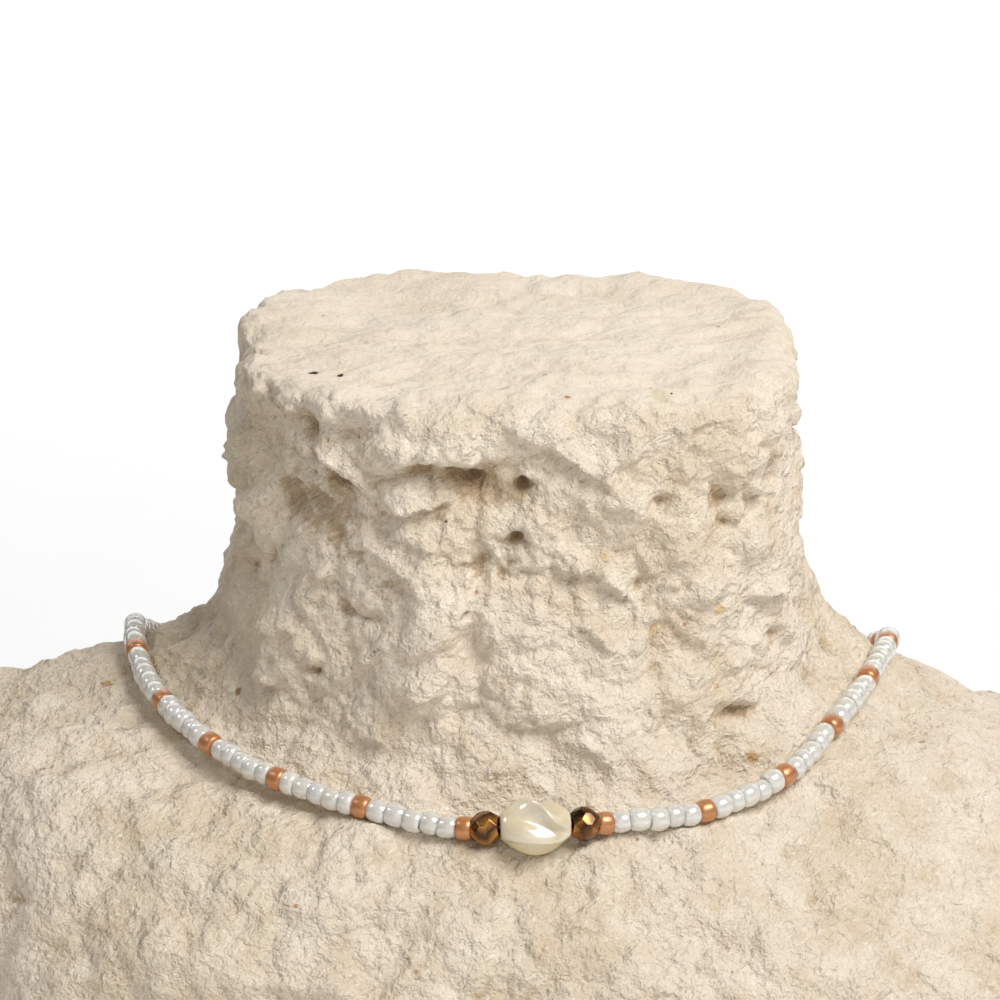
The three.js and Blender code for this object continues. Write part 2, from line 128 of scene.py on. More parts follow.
# Ledges of the pulp on the neck's front: x, z of the lip, half width, height above it, how far out, slope.
LEDGES = np.array([
    [-31.6, 124.0, 4.7, 3.0, 2.4, -0.68],
    [-26.5, 135.7, 6.0, 2.6, 1.3, -0.10],
    [-20.7, 135.4, 1.3, 4.0, 1.6, -0.20],
    [-14.2, 126.6, 10.0, 7.0, 2.7, 0.06],
    [-18.1, 118.6, 5.0, 4.0, 3.4, 0.10],
    [-16.8, 111.6, 5.5, 4.0, 1.2, -0.30],
    [7.0, 128.4, 9.0, 6.0, 1.6, -0.62],
    [18.6, 126.0, 4.0, 3.0, 1.0, 0.30],
    [10.4, 107.3, 4.5, 3.5, 1.7, 0.00],
    [17.7, 103.2, 3.0, 3.0, 1.3, -1.00],
    [14.7, 95.1, 4.0, 4.0, 1.3, -0.60],
    [1.6, 80.5, 5.0, 7.0, 1.0, -0.10],
    [11.8, 81.6, 4.0, 5.0, 0.9, 0.00],
    [41.5, 80.2, 3.6, 2.5, 1.2, -0.10],
    [45.5, 99.7, 2.2, 3.0, 1.8, 0.40],
    [-15.4, 93.9, 6.0, 7.0, 1.1, 0.15],
    [-27.0, 90.0, 5.5, 1.4, 1.2, 0.79],
    [-15.0, 85.7, 4.0, 4.0, 1.3, 0.20],
    [-26.0, 77.0, 3.5, 3.0, 0.9, 0.15],
    [-35.0, 103.6, 1.4, 3.0, 1.4, 0.90],
    [-44.5, 93.0, 1.4, 2.0, 1.6, 0.20],
    [-45.0, 83.5, 2.0, 1.6, 1.5, 0.10],
    [-7.9, 124.3, 2.3, 1.5, 1.2, 0.00],
    [1.2, 123.0, 1.3, 1.4, 1.2, 0.00],
    [0.1, 113.7, 1.1, 1.2, 1.0, 0.00],
    [-8.8, 100.8, 0.9, 1.0, 0.9, 0.00],
])
LEDGE_UNDERCUT_HEIGHT = 1.0
# Hollows, holes and knobs of the neck's front: x, z, half width, half height, how far out.
SPOTS = np.array([
    [-15.0, 121.5, 13.0, 6.5, -2.2],
    [-14.4, 100.4, 6.0, 6.5, 2.6],
    [2.0, 86.5, 7.0, 5.5, 2.4],
    [-7.5, 98.0, 2.5, 7.0, -1.2],
    [-33.0, 115.0, 6.0, 8.0, -0.9],
    [-24.0, 102.0, 6.0, 5.0, -1.4],
    [-6.0, 107.0, 3.5, 5.0, -1.6],
    [-38.0, 132.0, 3.5, 4.0, -1.5],
    [-32.6, 121.6, 3.0, 1.4, -1.8],
    [-7.9, 122.6, 2.2, 1.6, -2.4],
    [1.2, 121.2, 1.1, 1.6, -2.6],
    [0.1, 112.5, 0.9, 1.3, -2.0],
    [-8.8, 99.8, 0.7, 0.9, -1.8],
    [41.4, 78.4, 3.4, 1.4, -1.9],
    [-37.6, 86.5, 1.2, 0.7, -1.8],
    [4.0, 131.0, 7.0, 3.5, -0.9],
    [41.4, 124.8, 5.5, 6.0, 1.2],
    [39.0, 117.2, 3.5, 3.5, -1.5],
    [25.3, 118.4, 2.0, 1.6, -1.2],
    [32.4, 121.5, 4.0, 2.0, -0.8],
    [-46.1, 138.0, 1.6, 0.9, -1.4],
    [-50.5, 125.0, 3.0, 3.2, 1.5],
    [-49.5, 113.2, 3.0, 2.2, 1.3],
    [-38.5, 121.3, 1.2, 1.0, -1.0],
    [-41.3, 114.9, 1.6, 1.2, -1.1],
    [-4.5, 108.0, 1.2, 9.0, 0.9],
])

# Specks and stains in the pulp: x, y, z, radius, colour.
SPECKS = (
    (-36.1, -28.2, 137.8, 1.1, (38, 34, 32)), (-31.3, -30.0, 137.8, 0.7, (52, 46, 42)),
    (25.3, -43.5, 136.9, 2.4, (208, 198, 168)), (27.4, -42.3, 137.3, 0.6, (46, 40, 36)),
    (9.1, -44.2, 137.2, 0.7, (178, 138, 98)), (5.2, -35.9, 139.3, 0.7, (190, 156, 120)),
    (-12.2, -49.0, 115.8, 0.8, (112, 70, 46)), (42.2, -44.1, 71.2, 1.8, (194, 160, 118)),
    (-50.1, -31.5, 79.9, 0.9, (164, 128, 92)), (15.7, -49.5, 109.6, 1.3, (214, 186, 146)),
    (24.1, -46.2, 95.4, 1.4, (216, 188, 148)), (36.2, -44.0, 98.5, 1.4, (214, 186, 146)),
    (-75.0, -15.5, 76.6, 1.3, (186, 156, 118)),
)

# Camera: the picture is 1000 points wide.
PICTURE_WIDTH = 1000
FOCAL_POINTS = 5143
CAMERA_ELEVATION = 14
CAMERA_DISTANCE = 963
CAMERA_TARGET = (-2.8, 10.0, 105.0)
SENSOR_WIDTH = 36


# Curves and surfaces

def along_rows(table, position, places=None):
    """Values between a table's rows on the smooth curve through them, for an array of positions.

    Rows stand at places, or 0, 1, 2 and so on. Each has the slope of the line between its
    neighbours. From a row b with slope m to a row c with slope n, a step h on, a value at the share
    t of the way is b (1 + 2t)(1 - t)^2 + c t^2 (3 - 2t) + h m t (1 - t)^2 - h n t^2 (1 - t).
    """
    table = np.asarray(table, float)
    places = np.arange(len(table)) if places is None else np.asarray(places)
    position = np.asarray(position, float)
    padded = np.concatenate([table[:1], table, table[-1:]])
    spread = np.concatenate([[2 * places[0] - places[1]], places, [2 * places[-1] - places[-2]]])
    flat = (-1,) + (1,) * (table.ndim - 1)
    slopes = (padded[2:] - padded[:-2]) / (spread[2:] - spread[:-2]).reshape(flat)
    start = np.clip(np.searchsorted(places, position, side="right") - 1, 0, len(table) - 2)
    shape = position.shape + (1,) * (table.ndim - 1)
    step = (places[start + 1] - places[start]).reshape(shape)
    t = (position - places[start]).reshape(shape) / step
    ends = table[start] * (1 + 2 * t) * (1 - t) ** 2 + table[start + 1] * t**2 * (3 - 2 * t)
    return ends + step * t * (1 - t) * (slopes[start] * (1 - t) - slopes[start + 1] * t)


def bust_levels():
    """The bust's levels as rows of three reaches, squareness, three heights and lean.

    The reaches and the heights are the front's, the side's and the back's. A rise is a share of the
    seat's height below the seat and of the neck's above it, and a spread is the share of the way
    from the neck's reach to the foot's. Two levels round the foot off, and five on a quarter circle
    draw the last ring in, to round off the tilted top.
    """
    rise, spread = RINGS[:, 0:3], RINGS[:, 3:6]
    heights = SEAT_HEIGHT + rise * np.where(rise < 0, SEAT_HEIGHT, NECK_HEIGHT)
    neck = np.array([NECK_FRONT_REACH, NECK_HALF_WIDTH, NECK_BACK_REACH])
    foot = np.array([FOOT_HALF_DEPTH, SHOULDER_HALF_WIDTH, FOOT_HALF_DEPTH])
    reaches = neck + spread * (foot - neck)
    middle = np.column_stack([reaches, RINGS[:, 6], heights, RINGS[:, 7] * SHOULDER_LEAN_HEIGHT])
    low = [
        [*(foot - inset), RINGS[0, 6], height, height, height, 0]
        for inset, height in ((FOOT_ROUNDING_RADIUS, 0), (0, FOOT_ROUNDING_RADIUS))  # as FOOT_LEVELS
    ]
    tilt = np.array([-0.5, 0, 0.5]) * TOP_TILT_HEIGHT
    turn = np.linspace(0, math.pi / 2, len(RIM_LEVELS))
    rim = [
        [*(reaches[-1] - RIM_ROUNDING_RADII * (1 - inward)), TOP_SQUARENESS_POWER,
         *(SEAT_HEIGHT + NECK_HEIGHT + tilt - RIM_ROUNDING_RADII * (1 - upward)), 0]
        for inward, upward in zip(np.cos(turn), np.sin(turn))
    ]
    return np.vstack([low, middle, rim])


LEVELS = bust_levels()
PLACES = np.array([*FOOT_LEVELS, *range(len(RINGS)), *RIM_LEVELS])


def bust_surface(angle, level):
    """Points of the bust at arrays of angles and levels.

    The reach is (|sin/side|^n + |cos/depth|^n)^(-1/n), a squared ellipse. The height goes from the
    side's to the middle's by ((cos^2 + e^2)^(p/2) - e^p) / ((1 + e^2)^(p/2) - e^p), with e the
    ridge's softness and p its power, less the lean times the sine.
    """
    angle, level = np.broadcast_arrays(np.asarray(angle, float), np.asarray(level, float))
    columns = np.moveaxis(along_rows(LEVELS, level, PLACES), -1, 0)
    front, side, back, n, front_z, side_z, back_z, lean = columns
    across, forward = np.sin(np.radians(angle)), np.cos(np.radians(angle))
    ahead = forward > 0
    depth = np.where(ahead, front, back)
    reach = (np.abs(across / side) ** n + np.abs(forward / depth) ** n) ** (-1 / n)
    e, p = (np.where(ahead, *pair) for pair in (RIDGE_SOFTNESS_SHARES, RIDGE_POWERS))
    away = ((forward**2 + e**2) ** (p / 2) - e**p) / ((1 + e**2) ** (p / 2) - e**p)
    height = side_z + (np.where(ahead, front_z, back_z) - side_z) * away - lean * across
    return np.stack([reach * across, -reach * forward, height], axis=-1)


def unit(vectors):
    """Vectors divided by their lengths."""
    return vectors / np.linalg.norm(vectors, axis=-1, keepdims=True)


def bust_normal(angle, level):
    """The bust's outward direction: the step round it crossed with the step up it."""
    step = 0.01
    round_it = bust_surface(angle + step, level) - bust_surface(angle - step, level)
    up_it = bust_surface(angle, level + step) - bust_surface(angle, level - step)
    return unit(np.cross(round_it, up_it))


def course_level(angle):
    """Level of the thread at arrays of angles, on a closed smooth curve through COURSE."""
    turned = (angle + 180) % 360 - 180
    stops = np.append(COURSE[:, 0], COURSE[0, 0] + 360)
    last = np.clip(np.searchsorted(stops, turned, side="right") - 1, 0, len(COURSE) - 1)
    share = (turned - stops[last]) / (stops[last + 1] - stops[last])
    closed = np.concatenate([COURSE[-1:, 1], COURSE[:, 1], COURSE[:2, 1]])
    return SEAT_LEVEL + along_rows(closed, 1 + last + share)


def thread_course():
    """The thread's centre line, the way off the bust, and lengths, from the pearl round to it again.

    The line stands a bead's radius and a gap off the bust, and more by the pearl, where the extra height
    falls off as exp(-(distance / reach)^4).
    """
    turn = np.linspace(0, 360, COURSE_STEPS + 1)
    angle = PEARL_ANGLE + turn
    level = course_level(angle)
    foot = bust_surface(angle, level)
    off = bust_normal(angle, level)
    from_pearl = np.radians(np.minimum(turn, 360 - turn)) * np.linalg.norm(foot, axis=1)
    lift = PEARL_LIFT_HEIGHT * np.exp(-((from_pearl / PEARL_LIFT_LENGTH) ** 4))
    line = foot + off * (SEED_BEAD_RADIUS + REST_GAP + lift)[:, None]
    along = np.concatenate([[0], np.cumsum(np.linalg.norm(np.diff(line, axis=0), axis=1))])
    return line, off, along


LINE, OFF_BUST, ALONG = thread_course()
LOOP_LENGTH = ALONG[-1]


def thread_frames(lengths):
    """Places on the thread at lengths from the pearl, to the right if positive.

    Gives the points, the thread's own way, the way off the bust squared to it, and the third
    direction, up along the bust, which is the way off crossed with the thread's own way.
    """
    wanted = np.asarray(lengths, float) % LOOP_LENGTH

    def at(values, where):
        return np.stack([np.interp(where, ALONG, column) for column in values.T], axis=-1)

    point = at(LINE, wanted)
    run = unit(at(LINE, (wanted + 0.2) % LOOP_LENGTH) - at(LINE, (wanted - 0.2) % LOOP_LENGTH))
    off = at(OFF_BUST, wanted)
    off = unit(off - run * (off * run).sum(-1, keepdims=True))
    return point, run, off, np.cross(off, run)


def bead_frames(lengths, bead_lengths):
    """As thread_frames, for beads: each lies along the line between its ends, halfway to the thread."""
    lengths, half = np.asarray(lengths, float), np.asarray(bead_lengths, float) / 2
    point, _, off, _ = thread_frames(lengths)
    start, end = thread_frames(lengths - half)[0], thread_frames(lengths + half)[0]
    run = unit(end - start)
    off = unit(off - run * (off * run).sum(-1, keepdims=True))
    return ((start + end) / 2 + point) / 2, run, off, np.cross(off, run)


def bead_order(shares):
    """Places along one side of the string: copper beads, and runs of white beads as starts and lengths.

    After the rondelle comes a copper bead, then runs of white beads with a copper bead after each,
    and white beads alone in what is left before the clasp.
    """
    room = (LOOP_LENGTH - CLASP_LENGTH) / 2
    coppers = [(PEARL_LENGTH + SEED_BEAD_LENGTH) / 2 + RONDELLE_LENGTH]
    runs = []
    start = coppers[0] + SEED_BEAD_LENGTH / 2
    while start + SEED_BEAD_LENGTH < room:
        length = SEED_BEAD_LENGTH * (shares[len(runs)] if len(runs) < len(shares) else 1)
        beads = min(WHITE_BEADS_PER_RUN, math.floor((room - start) / length))
        runs.append((start, beads, length))
        start += beads * length
        if beads < WHITE_BEADS_PER_RUN or start + SEED_BEAD_LENGTH > room:
            break
        coppers.append(start + SEED_BEAD_LENGTH / 2)
        start += SEED_BEAD_LENGTH
    return coppers, runs


# Noise

# Rows of three random numbers from -1 to 1, one of which is picked by the hash of a cell.
CELL_NUMBERS = np.random.default_rng(7).uniform(-1, 1, (4096, 3))


def cell_numbers(cell, seed):
    """Three random numbers from -1 to 1 for each whole-numbered cell, from a hash of its place."""
    x, y, z = (cell[..., i].astype(np.int64) for i in range(3))
    mixed = (x * 73856093) ^ (y * 19349663) ^ (z * 83492791) ^ (seed * 2654435761)
    mixed = (mixed ^ (mixed >> 13)) * 1274126177
    return CELL_NUMBERS[(mixed ^ (mixed >> 16)) % len(CELL_NUMBERS)]


def soft_noise(points, seed):
    """Gradient noise of about -1 to 1.

    Each corner of the cell round a point has a random slope, and the heights of the eight slopes at
    the point are blended with the ease 6t^5 - 15t^4 + 10t^3 along each axis.
    """
    cell = np.floor(points)
    inside = points - cell
    ease = inside**3 * (inside * (inside * 6 - 15) + 10)
    total = np.zeros(points.shape[:-1])
    for corner in np.ndindex(2, 2, 2):
        weight = np.prod(np.where(corner, ease, 1 - ease), axis=-1)
        total += weight * (cell_numbers(cell + corner, seed) * (inside - corner)).sum(-1)
    return 1.5 * total


def lumps(points, seed):
    """Scattered round lumps with creases between, about -0.5 to 1.

    In each cell a lump of a random strength s stands at a random spot, s (1 - (d / r)^2) high at a
    distance d, with a radius r that grows with s, and the highest lump of the 27 cells round a point
    counts.
    """
    cell = np.floor(points)
    highest = np.zeros(points.shape[:-1])
    for step in np.ndindex(3, 3, 3):
        other = cell + (np.array(step) - 1)
        spot = other + 0.5 + 0.45 * cell_numbers(other, seed)
        strength = 0.65 + 0.35 * cell_numbers(other, seed + 1)[..., 0]
        distance = ((points - spot) ** 2).sum(-1)
        highest = np.maximum(highest, strength * (1 - distance / (0.45 + 0.5 * strength) ** 2))
    return highest - 0.42


def crumbs(points, seed, octaves):
    """Soft noise with finer noise on it: each octave is half as large and 0.55 times as high."""
    return sum(0.55**i * soft_noise(points * 2**i, seed + i) for i in range(octaves))


def ease_between(low, high, values):
    """0 below low, 1 above high, and 3t^2 - 2t^3 between."""
    t = np.clip((values - low) / (high - low), 0, 1)
    return t * t * (3 - 2 * t)


# Meshes

def grid_faces(rows, columns, wrap_rows=False):
    """Quads of a grid whose columns close round.

    Outward is the way round crossed with the way from row to row.
    """
    row = np.arange(rows if wrap_rows else rows - 1)[:, None]
    column = np.arange(columns)
    below, above = row * columns, (row + 1) % rows * columns
    beside = (column + 1) % columns
    corners = [below + column, below + beside, above + beside, above + column]
    return np.stack(corners, axis=-1).reshape(-1, 4)


def add_piece(name, points, faces, finish, nodes=(), attributes=None, smooth=True):
    """Makes a mesh piece from points in millimetres and faces, and ties it to the frame.

    An attribute holds a value for each point or for each face.
    """
    mesh = bpy.data.meshes.new(name)
    mesh.from_pydata((np.asarray(points) * MM).tolist(), [], [list(map(int, face)) for face in faces])
    mesh.polygons.foreach_set("use_smooth", [smooth] * len(mesh.polygons))
    for label, values in (attributes or {}).items():
        layer = mesh.attributes.new(label, "FLOAT", "POINT" if np.size(values) == len(points) else "FACE")
        layer.data.foreach_set("value", np.asarray(values, np.float32).ravel())
    mesh.materials.append(finish)
    piece = bpy.data.objects.new(name, mesh)
    bpy.context.scene.collection.objects.link(piece)
    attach(piece, "root")
    if nodes:
        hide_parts(*nodes)
    return piece


# Shader building

class Socket:
    """A shader value. Sums, differences and products of it add nodes to its finish."""

    def __init__(self, finish, output):
        self.finish, self.output = finish, output

    def math(self, operation, *values):
        added = self.finish.node("ShaderNodeMath", {"operation": operation}, dict(enumerate(values)))
        return Socket(self.finish, added.outputs[0])

    def __add__(self, other):
        return self.math("ADD", self, other)

    def __sub__(self, other):
        return self.math("SUBTRACT", self, other)

    def __rsub__(self, other):
        return self.math("SUBTRACT", other, self)

    def __mul__(self, other):
        return self.math("MULTIPLY", self, other)

    __radd__, __rmul__ = __add__, __mul__

    def between(self, low, high):
        """0 at low and below, 1 at high and above."""
        added = self.finish.node(
            "ShaderNodeMapRange", {"interpolation_type": "SMOOTHSTEP"},
            {"Value": self, "From Min": low, "From Max": high},
        )
        return Socket(self.finish, added.outputs[0])


class Finish:
    """A material built one node at a time."""

    def __init__(self, name):
        self.material = bpy.data.materials.new(name)
        self.material.use_nodes = True
        self.tree = self.material.node_tree
        self.tree.nodes.clear()
        self.place = self.out("ShaderNodeTexCoord", "Object")

    def node(self, kind, settings=None, values=None):
        """Adds a node of a kind: first its settings, then its sockets' values or links."""
        added = self.tree.nodes.new(kind)
        for name, setting in (settings or {}).items():
            if name == "stops":
                ramp = added.color_ramp.elements
                while len(ramp) < len(setting):
                    ramp.new(0.5)
                for element, (position, colour) in zip(ramp, setting):
                    element.position, element.color = position, colour
            else:
                setattr(added, name, setting)
        for name, value in (values or {}).items():
            if isinstance(value, Socket):
                self.tree.links.new(value.output, added.inputs[name])
            else:
                added.inputs[name].default_value = value
        return added

    def out(self, kind, output, settings=None, values=None):
        """As node, but gives one of its outputs."""
        return Socket(self, self.node(kind, settings, values).outputs[output])

    def noise(self, size, detail=3, roughness=0.55, stretch=(1, 1, 1), lean=0.0):
        """Noise of 0 to 1 with features about size millimetres across, times stretch along each axis.

        The stretched axes are leant about Y by a number of degrees.
        """
        values = {"Vector": self.place, "Rotation": (0, math.radians(lean), 0),
                  "Scale": [size * MM * s for s in stretch]}
        spread = self.out("ShaderNodeMapping", "Vector", {"vector_type": "TEXTURE"}, values)
        values = {"Vector": spread, "Scale": 1.0, "Detail": detail, "Roughness": roughness}
        return self.out("ShaderNodeTexNoise", "Fac", None, values)

    def mix(self, share, first, second):
        """A colour the given share of the way from first to second."""
        values = {0: share, 6: first, 7: second}
        return self.out("ShaderNodeMix", 2, {"data_type": "RGBA"}, values)

    def attribute(self, name):
        """A value that the mesh carries under this name."""
        return self.out("ShaderNodeAttribute", "Fac", {"attribute_name": name})

    def ramp(self, value, *stops):
        """A colour for a value, between stops of a place and a colour."""
        return self.out("ShaderNodeValToRGB", "Color", {"stops": stops}, {"Fac": value})

    def bump(self, height, depth, strength):
        """Normals of a surface with this height on it, of which 1 stands depth millimetres out."""
        values = {"Strength": strength, "Distance": depth * MM, "Height": height}
        return self.out("ShaderNodeBump", "Normal", None, values)

    def finished(self, values):
        """Closes the material with a Principled shader of these values."""
        shader = self.out("ShaderNodeBsdfPrincipled", "BSDF", None, values)
        self.node("ShaderNodeOutputMaterial", None, {"Surface": shader})
        return self.material


def srgb(red, green, blue):
    """A colour from its 0 to 255 values, as linear light."""
    parts = np.array([red, green, blue]) / 255
    linear = np.where(parts <= 0.04045, parts / 12.92, ((parts + 0.055) / 1.055) ** 2.4)
    return (*linear.tolist(), 1.0)


def paper_pulp():
    """Dry cream paper pulp with patches, specks and fibres, painted shade browning its hollows, and a
    painted greying of its top for the light falling there.
    """
    f = Finish("paper_pulp")
    hollow = f.attribute("hollow")
    crown = f.attribute("crown")
    broad = f.noise(34, 3)
    patch = f.noise(8, 4, 0.65)
    clod = f.noise(4.2, 4, 0.58)
    grain = f.noise(0.9, 3, 0.72)
    fibre = f.noise(0.7, 2, 0.6, (4, 2, 1), -32)
    body = f.mix(broad.between(0.35, 0.68), srgb(230, 216, 197), srgb(220, 204, 180))
    body = f.mix(patch.between(0.5, 0.7) * 0.45, body, srgb(204, 182, 147))
    body = f.mix(patch.between(0.5, 0.32) * 0.5, body, srgb(241, 231, 212))
    # Painted shade: browner where the pulp is hollow, broken up by the random grain and clods.
    hollow_shade_and_grain = (hollow * 0.6 + grain * 0.9 + clod * 0.5).between(0.85, 1.3)
    body = f.mix(hollow_shade_and_grain * 0.7, body, srgb(178, 150, 112))
    body = f.mix(grain.between(0.6, 0.74) * 0.45, body, srgb(178, 149, 112))
    body = f.mix(fibre.between(0.56, 0.7) * 0.35, body, srgb(250, 243, 230))
    # Painted lighting: the top is greyed towards a paler grey-cream, standing for how the light falls
    # there.
    body = f.mix(crown * 0.5, body, srgb(222, 210, 194))
    cells = {"Vector": f.place, "Scale": 1 / (7 * MM), "Randomness": 1.0}
    speck = f.out("ShaderNodeTexVoronoi", "Distance", None, cells)
    rare = f.noise(12, 2).between(0.56, 0.62)
    body = f.mix(speck.between(0.075, 0.045) * rare * 0.75, body, srgb(170, 118, 70))
    uneven = (grain - 0.5) * (1.2 * MM) + (clod - 0.5) * (1.6 * MM)
    for x, y, z, radius, colour in SPECKS:
        middle = (x * MM, y * MM, z * MM)
        far = f.out("ShaderNodeVectorMath", "Value", {"operation": "DISTANCE"}, {0: f.place, 1: middle})
        inside = (far + uneven).between(radius * MM, 0.4 * radius * MM)
        body = f.mix(inside, body, srgb(*colour))
    height = (clod * 1.45 + grain * 0.22 + fibre * 0.2) * (1 - crown * 0.55)
    return f.finished({
        "Base Color": body, "Roughness": 0.93, "Specular IOR Level": 0.2,
        "Normal": f.bump(height, depth=2.2, strength=1.0),
    })


def lustre_glass():
    """White glass beads with a pearly lustre, each of its own tone, with painted light whitening their
    ends as if lit through the glass.
    """
    f = Finish("lustre_glass")
    tone = f.attribute("tone")
    rim = f.attribute("rim")
    body = f.ramp(
        tone,
        (0.0, srgb(235, 229, 224)), (0.35, srgb(244, 240, 228)),
        (0.65, srgb(238, 234, 232)), (1.0, srgb(246, 241, 226)),
    )
    # Painted light: the ends are whitened, standing for light glowing through the translucent glass.
    body = f.mix((rim + f.noise(1.6, 2) * 0.6).between(0.75, 1.2), body, srgb(252, 250, 238))
    bump = f.bump(f.noise(1.1, 2), depth=0.35, strength=0.25)
    return f.finished({
        "Base Color": body, "Roughness": 0.2, "IOR": 1.52, "Transmission Weight": 0.28,
        "Subsurface Weight": 0.7, "Subsurface Radius": (1.0, 1.0, 0.9), "Subsurface Scale": 1.3 * MM,
        "Coat Weight": 1.0, "Coat Roughness": 0.05, "Coat IOR": 2.1, "Normal": bump,
    })


def satin_copper():
    """Glass beads with a satin copper coat, thinner in small patches."""
    f = Finish("satin_copper")
    worn = f.noise(1.3, 4, 0.6).between(0.5, 0.75)
    body = f.mix(worn * 0.4, srgb(196, 128, 70), srgb(156, 98, 54))
    bump = f.bump(f.noise(0.35, 3), depth=0.08, strength=0.2)
    return f.finished({
        "Base Color": body, "Metallic": 0.5, "Roughness": 0.38 + worn * 0.14, "Coat Weight": 1.0,
        "Coat Roughness": 0.34, "Coat IOR": 1.65, "Normal": bump,
    })


def mirror_bronze():
    """Cut glass with a bronze mirror coat: random facet tones from near black through brown to golden,
    painted reflections of the dark and bright surroundings.
    """
    f = Finish("mirror_bronze")
    facet = f.attribute("facet")
    uneven = f.noise(1.2, 3)
    # Painted reflections: each facet's random tone stands for the dark or bright surroundings it mirrors.
    body = f.ramp(
        facet + uneven * 0.3 - 0.15,
        (0.0, srgb(48, 38, 32)), (0.3, srgb(92, 66, 48)),
        (0.6, srgb(150, 104, 58)), (1.0, srgb(198, 144, 70)),
    )
    return f.finished({
        "Base Color": body, "Metallic": 1.0, "Roughness": 0.18 + uneven * 0.08,
        "Normal": f.bump(uneven, depth=0.1, strength=0.08),
    })


def nacre():
    """Ivory pearl coat, glossy over a soft satin body, with painted warm bounce light underneath."""
    f = Finish("nacre")
    cloud = f.noise(4.5, 3)
    body = f.mix(cloud.between(0.35, 0.7), srgb(224, 212, 188), srgb(212, 197, 162))
    # Painted light: warmer underneath, standing for warm light thrown up from the bust.
    body = f.mix(f.attribute("under") * 0.75, body, srgb(222, 203, 148))
    bump = f.bump(f.noise(2.2, 2), depth=0.3, strength=0.1)
    return f.finished({
        "Base Color": body, "Roughness": 0.32, "Subsurface Weight": 0.2,
        "Subsurface Radius": (1.0, 0.9, 0.7), "Subsurface Scale": 1.0 * MM, "Coat Weight": 1.0,
        "Coat Roughness": 0.09, "Coat IOR": 1.9, "Normal": bump,
    })


def beading_thread():
    """Smooth whitish beading thread."""
    f = Finish("beading_thread")
    body = f.mix(f.noise(2, 2), srgb(226, 224, 216), srgb(206, 202, 192))
    return f.finished({"Base Color": body, "Roughness": 0.5})


def gilt_metal():
    """Polished gilt clasp metal, with fine wear."""
    f = Finish("gilt_metal")
    wear = f.noise(1.2, 4, 0.6)
    body = f.mix(wear.between(0.45, 0.75), srgb(214, 172, 104), srgb(186, 140, 84))
    return f.finished({"Base Color": body, "Metallic": 1.0, "Roughness": 0.16 + wear * 0.16})


# Bust

AROUND = 400
CAP_RINGS = 30
NECK_SAG_SHARE = 0.3  # the neck's lumps hang down by this share of their height
SAG_FADE_LEVEL = 11.2  # and by less and less from here to the rim
NECK_INSET_DEPTH = 1.0  # the neck's lumps stand out to its outline from this far inside it


def bust_grid():
    """Angles and levels of the bust's grid: columns closer at the front, and rows closer above the foot.

    An angle is t - 0.5 sin t, for even steps of t. Rows are about 2.6 apart at the foot, 0.9 on the
    shoulders and 0.5 on the neck, measured along the front.
    """
    turn = np.linspace(0, 2 * math.pi, AROUND, endpoint=False)
    angles = np.degrees(turn - 0.5 * np.sin(turn))
    fine = np.linspace(PLACES[0], PLACES[-1], 4000)
    profile = bust_surface(0, fine)
    step = np.linalg.norm(np.diff(profile, axis=0), axis=1)
    height = profile[1:, 2]
    wanted = 2.6 - 1.7 * ease_between(20, 40, height) - 0.38 * ease_between(55, 75, height)
    rows = np.concatenate([[0], np.cumsum(step / wanted)])
    count = round(rows[-1])
    return angles, np.interp(np.linspace(0, rows[-1], count), rows, fine)


def ledge_relief(x, z):
    """How far the chosen ledges and spots stand out at places x and z on the neck's front.

    A ledge fades along itself as exp(-|u|^3), and up from its lip and under it as exp(-v^2), with u
    and v as shares of its half width and of its height or the undercut's. A spot is a bell curve.
    """
    across, lip, wide, above, out, slope = LEDGES.T
    u = (x[..., None] - across) / wide
    v = z[..., None] - lip - slope * (x[..., None] - across)
    fade = np.exp(-((v / np.where(v > 0, above, LEDGE_UNDERCUT_HEIGHT)) ** 2))
    total = (out * np.exp(-np.abs(u) ** 3) * fade).sum(-1)
    across, height, wide, high, out = SPOTS.T
    bell = np.exp(-(((x[..., None] - across) / wide) ** 2) - ((z[..., None] - height) / high) ** 2)
    return total + (out * bell).sum(-1)


